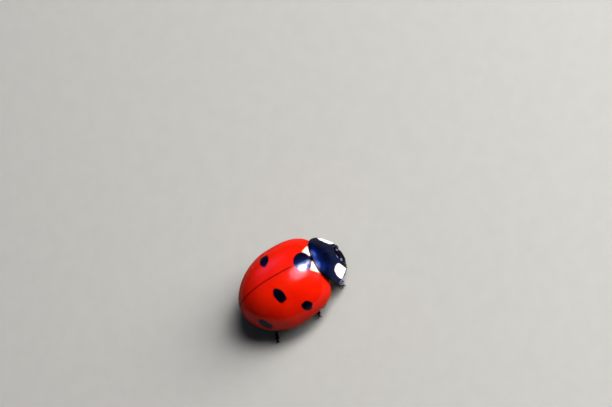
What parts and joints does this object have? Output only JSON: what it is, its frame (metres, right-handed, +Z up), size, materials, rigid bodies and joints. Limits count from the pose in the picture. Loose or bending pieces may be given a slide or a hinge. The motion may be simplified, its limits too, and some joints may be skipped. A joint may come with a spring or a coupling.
{
  "type": "seven-spot ladybird",
  "caption": "Still life-size model of a seven-spot ladybird standing with closed wing cases.",
  "frame": {"origin": "on the floor under the middle of the body, halfway between the face and the tail", "axes": "+Z up; -Y the way the head faces; +X the animal's left"},
  "size_m": [0.006, 0.008, 0.0037],
  "materials": {
    "red_shell": "glossy orange-red chitin with fine punctures and round black spots",
    "black_shell": "glossy blue-black chitin, with white front corners on the neck shield",
    "underside": "satin black chitin with sparse pale hairs",
    "leg": "satin black chitin with short bristles",
    "eye": "glossy black compound eye with fine facets",
    "feeler": "satin dark brown chitin"
  },
  "bodies": {
    "root": {"abdomen": "underside", "antenna_left": "feeler", "antenna_right": "feeler", "elytron_left": "red_shell", "elytron_right": "red_shell", "eye_left": "eye", "eye_right": "eye", "head": "black_shell", "labrum": "black_shell", "leg_front_left_femur": "leg", "leg_front_left_tarsus": "leg", "leg_front_left_tibia": "leg", "leg_front_right_femur": "leg", "leg_front_right_tarsus": "leg", "leg_front_right_tibia": "leg", "leg_hind_left_femur": "leg", "leg_hind_left_tarsus": "leg", "leg_hind_left_tibia": "leg", "leg_hind_right_femur": "leg", "leg_hind_right_tarsus": "leg", "leg_hind_right_tibia": "leg", "leg_middle_left_femur": "leg", "leg_middle_left_tarsus": "leg", "leg_middle_left_tibia": "leg", "leg_middle_right_femur": "leg", "leg_middle_right_tarsus": "leg", "leg_middle_right_tibia": "leg", "mandible_left": "feeler", "mandible_right": "feeler", "palp_left": "feeler", "palp_right": "feeler", "pronotum": "black_shell", "prothorax": "underside", "scutellum": "black_shell", "thorax": "underside"}
  },
  "joints": []
}
